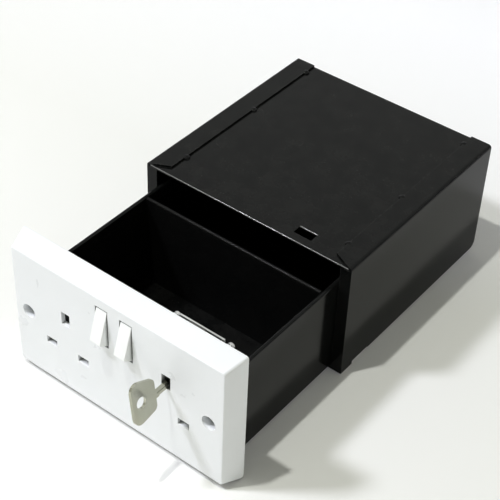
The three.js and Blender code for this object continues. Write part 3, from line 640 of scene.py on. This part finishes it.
# %% Shape the shell of the faceplate
half_width, half_height, depth, wall = 0.073, 0.043, 0.0134, 0.0028
face_half_width, face_half_height = 0.0694, 0.0394
rim_step = 0.001
face_y = span("faceplate")[0].y
rim_y = face_y + depth
inside_y = face_y + wall
plate = box_piece("faceplate_dressed", (-half_width, face_y, 0), (half_width, rim_y, 2 * half_height))
slice_at(plate, 1, rim_y - rim_step)
pick(plate, "FACE", lambda face: face.center.y < face_y + 0.00001)
bpy.ops.transform.resize(value=(face_half_width / half_width, 1, face_half_height / half_height),
                         center_override=(0, face_y, half_height))
pick(plate, "EDGE", lambda edge: abs(ends(plate, edge)[0].y - ends(plate, edge)[1].y) > 0.0005)
bpy.ops.mesh.bevel(offset=0.0014, segments=5, affect="EDGES")
pick(plate, "EDGE", lambda edge: lies_at(plate, edge, 1, face_y))
bpy.ops.mesh.bevel(offset=0.0006, segments=4, affect="EDGES")
print("shell:", len(plate.data.polygons), "faces before it is hollowed")

# %% Hollow the shell
past = 0.001
inner_width, inner_height = half_width - wall, half_height - wall
lean_x = (face_half_width - wall) / inner_width
lean_z = (face_half_height - wall) / inner_height
hollow = box_piece("hollow", (-inner_width, inside_y, wall),
                   (inner_width, rim_y + past, half_height + inner_height))
pick(hollow, "FACE", lambda face: face.center.y < inside_y + 0.00001)
bpy.ops.transform.resize(value=(lean_x, 1, lean_z), center_override=(0, inside_y, half_height))
combine(plate, [hollow])
print("shell:", len(plate.data.polygons), "faces")

# %% [markdown]
# ### Bosses, cups and openings
# Screws bite into round bosses behind the face, and the pin slots and screw recesses are deeper
# than the wall, so each has a cup behind it. Each could be cut as soon as it is joined, but a
# later join would fill it again where two meet. So all are joined to the shell first, and every
# slot, window and bore is cut afterwards, straight through whatever stands behind it.

# %% Place the bosses and their bores
boss_places = [(f"plate_screw_{i}", 0.0032, rim_y - 0.0003) for i in (1, 2, 3, 4)]
boss_places += [(f"lock_screw_{i}", 0.0026, span("lock_backplate")[0].y) for i in (1, 2)]
bore_radius, bore_depth = 0.0014, 0.009
solids = []
openings = []
for node, radius, back in boss_places:
    low, high = span(node)
    x, z = (low.x + high.x) / 2, (low.z + high.z) / 2
    solids.append(rod_piece("boss", (x, inside_y - past, z), (x, back, z), radius))
    openings.append(rod_piece("bore", (x, back - bore_depth, z), (x, back + past, z), bore_radius, 16))
print("bosses:", len(solids))

# %% Place the slots, recesses and windows
lock_place = span("lock_barrel")
lock_x, lock_z = (lock_place[0].x + lock_place[1].x) / 2, (lock_place[0].z + lock_place[1].z) / 2
axle_y, axle_z = ((low + high) / 2 for low, high in list(zip(*span("rocker_axle")))[1:])
earth_half_x, earth_half_z, earth_rise = 0.0028, 0.0042, 0.0017
pin_pitch, pin_half_x, pin_half_z, pin_depth = 0.0222, 0.0036, 0.0022, 0.004
recess_x, recess_radius, recess_depth = 0.0603, 0.0042, 0.005
rocker_x, window_half_x, window_half_z = 0.008, 0.004, 0.01235
cup_wall = 0.0012
earth_z = lock_z + earth_rise
pin_z = earth_z - pin_pitch


def opening(name, x, z, half_x, half_z, back):
    """A box through the face, from in front of it to the given depth."""
    low, high = (x - half_x, face_y - past, z - half_z), (x + half_x, back, z + half_z)
    openings.append(box_piece(name, low, high))


def pin_cup(x):
    """A box behind a pin slot, one cup wall larger than the slot all round."""
    half_x, half_z = pin_half_x + cup_wall, pin_half_z + cup_wall
    low = (x - half_x, inside_y - past, pin_z - half_z)
    high = (x + half_x, face_y + pin_depth + cup_wall, pin_z + half_z)
    solids.append(box_piece("cup", low, high))


for side in (-1, 1):
    opening("earth", side * lock_x, earth_z, earth_half_x, earth_half_z, inside_y + past)
    for pin_x in (side * lock_x - pin_pitch / 2, side * lock_x + pin_pitch / 2):
        pin_cup(pin_x)
        opening("pin", pin_x, pin_z, pin_half_x, pin_half_z, face_y + pin_depth)
    x, z = side * recess_x, half_height
    solids.append(rod_piece("cup", (x, inside_y - past, z), (x, face_y + recess_depth + cup_wall, z),
                            recess_radius + cup_wall))
    openings.append(rod_piece("recess", (x, face_y - past, z), (x, face_y + recess_depth, z),
                              recess_radius))
    opening("window", side * rocker_x, axle_z, window_half_x, window_half_z, inside_y + past)
print("openings:", len(openings))

# %% Join them, then cut the openings
combine(plate, solids, "UNION")
combine(plate, openings)
soften(plate, 0.0002)
finish_piece(plate, "white_plastic", plate_plastic, "faceplate")

# %% [markdown]
# ## The rockers
# A rocker is a wedge on an axle. Its front is flat, and behind the axle it widens to a waist, so
# that no gap opens as it tips. Its side could be drawn as an outline and extruded, but a box is
# quicker: it is bisected at the axle, and its front and back are drawn in on either side of the
# waist. The second rocker is a copy.

# %% Shape one rocker and copy it
waist, front_half, back_half = 0.012, 0.0097, 0.0114
front_y, back_y = -0.00715, 0.003
half_wide, bore_radius, off_tilt = 0.0036, 0.0013, -18
rocker = box_piece("rocker_right_dressed", (-half_wide, front_y, -waist), (half_wide, back_y, waist))
slice_at(rocker, 1, 0)
for face_at, half in ((front_y, front_half), (back_y, back_half)):
    pick(rocker, "FACE", lambda face: abs(face.center.y - face_at) < 0.00001)
    bpy.ops.transform.resize(value=(1, 1, half / waist), center_override=(0, 0, 0))
combine(rocker, [rod_piece("bore", (-half_wide - past, 0, 0), (half_wide + past, 0, 0), bore_radius, 24)])
soften(rocker, 0.0004, segments=3)
rocker.rotation_euler = (radians(off_tilt), 0, 0)
rocker.location = (rocker_x, axle_y, axle_z)
settle(rocker)
other_rocker = twin(rocker, "rocker_left_dressed", (-2 * rocker_x, 0, 0))
for piece, node in ((rocker, "rocker_right"), (other_rocker, "rocker_left")):
    finish_piece(piece, "white_plastic", rocker_plastic, node)

# %% [markdown]
# ## The key
# The bow is a flat fan with rounded corners and a round hole, and it leans up a little from the
# blade. It could be traced point by point, but four corners and four arcs say the same. So a box
# is drawn in at its rear, and its corners are bevelled, widely in front and less behind.

# %% Shape the bow
bow_length, front_half_z, back_half_z, bow_half_x = 0.0159, 0.0127, 0.0083, 0.0008
hole_y, hole_radius = -0.01, 0.0031
bow_lean, bow_rise = -7.3, 0.0007
bow = box_piece("key_dressed", (-bow_half_x, -bow_length, -front_half_z), (bow_half_x, 0, front_half_z))
pick(bow, "FACE", lambda face: face.center.y > -0.00001)
bpy.ops.transform.resize(value=(1, 1, back_half_z / front_half_z), center_override=(0, 0, 0))
for corner_y, radius, segments in ((-bow_length, 0.0061, 9), (0, 0.0023, 6)):
    pick(bow, "EDGE", lambda edge: abs(ends(bow, edge)[0].x - ends(bow, edge)[1].x) > 0.001
         and lies_at(bow, edge, 1, corner_y))
    bpy.ops.mesh.bevel(offset=radius, segments=segments, affect="EDGES")
combine(bow, [rod_piece("hole", (-bow_half_x - past, hole_y, 0), (bow_half_x + past, hole_y, 0),
                        hole_radius)])
bow_rear = face_y - 0.008
bow.rotation_euler = (radians(bow_lean), 0, 0)
bow.location = (0, bow_rear, bow_rise)
settle(bow)
print("bow:", len(bow.data.polygons), "faces")

# %% [markdown]
# ### The blade
# The blade is a flat bar with a tapered tip, a groove along both sides that guides it in the lock,
# and a stop shoulder at the bow. The groove could be only a dark line, but at a low angle it would
# look painted. So it is cut, and the blade and its shoulder are joined to the bow.

# %% Shape the blade and join it to the bow
tip_y = span("key")[1].y
blade_half_x, blade_half_z, tip_half_z = 0.00085, 0.00155, 0.0006
groove_depth, groove_low, groove_high = 0.0003, 0.0001, 0.0006
shoulder_low, shoulder_high, shoulder_length = -0.00205, -0.001, 0.0018
lock_turn = -15
blade = box_piece("blade", (-blade_half_x, bow_rear - past, -blade_half_z),
                  (blade_half_x, tip_y, blade_half_z))
slice_at(blade, 1, tip_y - blade_half_z)
pick(blade, "FACE", lambda face: face.center.y > tip_y - 0.00001)
bpy.ops.transform.resize(value=(1, 1, tip_half_z / blade_half_z), center_override=(0, tip_y, 0))
grooves = [box_piece("groove", (x - groove_depth, bow_rear + 0.0008, groove_low),
                     (x + groove_depth, tip_y - 0.002, groove_high))
           for x in (-blade_half_x, blade_half_x)]
combine(blade, grooves)
shoulder = box_piece("shoulder", (-blade_half_x, bow_rear - past, shoulder_low),
                     (blade_half_x, bow_rear + shoulder_length, shoulder_high))
combine(bow, [combine(blade, [shoulder], "UNION")], "UNION")
soften(bow, 0.00055, segments=4)
bow.rotation_euler = (0, radians(lock_turn), 0)
bow.location = (lock_x, 0, lock_z)
settle(bow)
finish_piece(bow, "nickel", nickel, "key")

# %% [markdown]
# ## Cross-headed screws
# All six screws have the same head. Head and shank could be two rods, but then a seam would run
# between them. So one rod makes the shank, and its end face is extruded out to the head's width
# and then up to the head's height. The rim is bevelled to a low dome, and two crossing boxes cut
# the cross.

# %% Shape one screw and copy it
shank_radius, head_radius, head_height = 0.0011, 0.002, 0.0018
cross_reach, cross_half, cross_depth = 0.0012, 0.0004, 0.0009
first_low, high = span("lock_screw_1")
x, z = (first_low.x + high.x) / 2, (first_low.z + high.z) / 2
seat_y = high.y - head_height
screw = rod_piece("lock_screw_1_dressed", (x, first_low.y, z), (x, seat_y, z), shank_radius, 24)
pick(screw, "FACE", lambda face: face.center.y > seat_y - 0.00001)
bpy.ops.mesh.extrude_region_move()
bpy.ops.transform.resize(value=(head_radius / shank_radius, 1, head_radius / shank_radius),
                         center_override=(x, seat_y, z))
bpy.ops.mesh.extrude_region_move(TRANSFORM_OT_translate={"value": (0, head_height, 0)})
bpy.ops.mesh.bevel(offset=0.0006, segments=4, affect="EDGES")
bars = [box_piece("bar", (x - half_x, high.y - cross_depth, z - half_z),
                  (x + half_x, high.y + past, z + half_z))
        for half_x, half_z in ((cross_reach, cross_half), (cross_half, cross_reach))]
combine(screw, [combine(bars[0], [bars[1]], "UNION")])
soften(screw, 0.0001)
for node in ["lock_screw_1", "lock_screw_2"] + [f"plate_screw_{i}" for i in (1, 2, 3, 4)]:
    piece = screw if node == "lock_screw_1" else twin(screw, node + "_dressed", span(node)[0] - first_low)
    finish_piece(piece, "zinc", zinc, node)

# %% [markdown]
# ## The lock's backplate
# The backplate is cut from sheet: an upright plate with an ear on either side for a screw. The
# ears could be boxes joined on, but extruding them keeps one clean surface. So the plate is sliced
# above and below the screws, and the side faces between the cuts are drawn out. From above, its
# top edge shows as a narrow bright line behind the dark gap at the case's rear.

# %% Shape the backplate
low, high = span("lock_backplate")
screw_z = (span("lock_screw_1")[0].z + span("lock_screw_1")[1].z) / 2
ear_low, ear_high = screw_z - 0.0026, screw_z + 0.0004
strip_half, hole_radius = 0.014, 0.0014
backplate = box_piece("lock_backplate_dressed", (lock_x - strip_half, low.y, low.z),
                      (lock_x + strip_half, high.y, high.z))
for value in (ear_low, ear_high):
    slice_at(backplate, 2, value)
for side_x, edge_x in ((lock_x - strip_half, low.x), (lock_x + strip_half, high.x)):
    pick(backplate, "FACE", lambda face: abs(face.center.x - side_x) < 0.00001
         and ear_low < face.center.z < ear_high)
    bpy.ops.mesh.extrude_region_move(TRANSFORM_OT_translate={"value": (edge_x - side_x, 0, 0)})
holes = []
for node in ("lock_screw_1", "lock_screw_2"):
    x = sum(corner.x for corner in span(node)) / 2
    holes.append(rod_piece("hole", (x, low.y - past, screw_z), (x, high.y + past, screw_z), hole_radius, 24))
combine(backplate, holes)
soften(backplate, 0.0001)
finish_piece(backplate, "zinc", zinc, "lock_backplate")

# %% [markdown]
# ## The sleeve's top sheet
# The top of the sleeve is one flat sheet with a slot that the bolt rises into. A cutter could
# punch the slot, but on a flat sheet slices are cleaner: a plane is bisected along the slot's four
# sides, the small face in the middle is deleted, and Solidify gives the sheet its thickness. The
# front edge and the slot's rear edge are filed round, and carry the bright band of rubbed paint
# and painted highlight.

# %% Shape the top sheet
low, high = span("sleeve_top_panel")
slot_half_x, slot_front, slot_rear = 0.00575, 0.00555, 0.01145
slot_x = (lock_x - slot_half_x, lock_x + slot_half_x)
slot_y = (low.y + slot_front, low.y + slot_rear)
select_only()
bpy.ops.mesh.primitive_plane_add(size=1, location=(0, (low.y + high.y) / 2, high.z))
sheet = bpy.context.active_object
sheet.name = "sleeve_top_panel_dressed"
sheet.scale = (high.x - low.x, high.y - low.y, 1)
settle(sheet)
for axis, value in ((0, slot_x[0]), (0, slot_x[1]), (1, slot_y[0]), (1, slot_y[1])):
    slice_at(sheet, axis, value)
pick(sheet, "FACE", lambda face: slot_x[0] < face.center.x < slot_x[1]
     and slot_y[0] < face.center.y < slot_y[1])
bpy.ops.mesh.delete(type="FACE")
bpy.ops.object.mode_set(mode="OBJECT")
apply_modifier(sheet, "SOLIDIFY", thickness=high.z - low.z, offset=-1)


def is_filed(edge):
    """Whether a top edge of the sheet is its front edge or the rear edge of the slot."""
    middle_x = sum(point.x for point in ends(sheet, edge)) / 2
    at_slot = lies_at(sheet, edge, 1, slot_y[1]) and abs(middle_x - lock_x) < 0.005
    return lies_at(sheet, edge, 2, high.z) and (lies_at(sheet, edge, 1, low.y) or at_slot)


pick(sheet, "EDGE", is_filed)
bpy.ops.mesh.bevel(offset=0.00045, segments=4, affect="EDGES")
soften(sheet, 0.0002)
# The top sheet takes the paint with the painted highlight on its edges that face forwards and up.
finish_piece(sheet, "black_paint", highlight_edge_paint, "sleeve_top_panel")

# %% [markdown]
# ## Pieces taken from the measured solids
# The other solids already have the right shape, and would gain nothing from being modelled again.
# Only their edges are too sharp for sheet, stampings and mouldings. So a copy of each mesh is
# merged into one surface, its flat triangles are dissolved into whole faces, and its edges are
# rounded. The widths are small on thin sheet and on pins, and largest on the lock's nut, case and
# bolt.

# %% Edge widths for each solid
edge_widths = {
    "sleeve_floor_and_back": 0.00022,
    "sleeve_left_side": 0.00015,
    "sleeve_right_side": 0.00015,
    "drawer_front_wall": 0.00018,
    "drawer_rear_wall": 0.00018,
    "drawer_left_side": 0.00018,
    "drawer_right_side": 0.00018,
    "drawer_base": 0.00018,
    "rocker_axle": 0.0001,
    "rocker_cradle": 0.0002,
    "lock_barrel": 0.0002,
    "lock_nut": 0.0003,
    "lock_case": 0.0003,
    "lock_plug": 0.00015,
    "lock_bolt": 0.0003,
}
print("solids to dress:", len(edge_widths), "of", len(body_of))

# %% Finish of each solid
def finish_for(node):
    """The slot and the material of a solid, by what it is made of."""
    if node.startswith(("sleeve", "drawer")):
        return "black_paint", black_paint
    if node == "rocker_cradle":
        return "white_plastic", plate_plastic
    if node == "lock_plug":
        return "dark_metal", dark_metal
    return "zinc", dark_zinc if node in ("lock_case", "lock_bolt") else zinc


print("slots:", sorted({finish_for(node)[0] for node in edge_widths}))

# %% Dress them
for node, edge in edge_widths.items():
    piece = bpy.data.objects.new(node + "_dressed", frame["nodes"][node].data.copy())
    scene.collection.objects.link(piece)
    soften(piece, edge)
    finish_piece(piece, *finish_for(node), node)
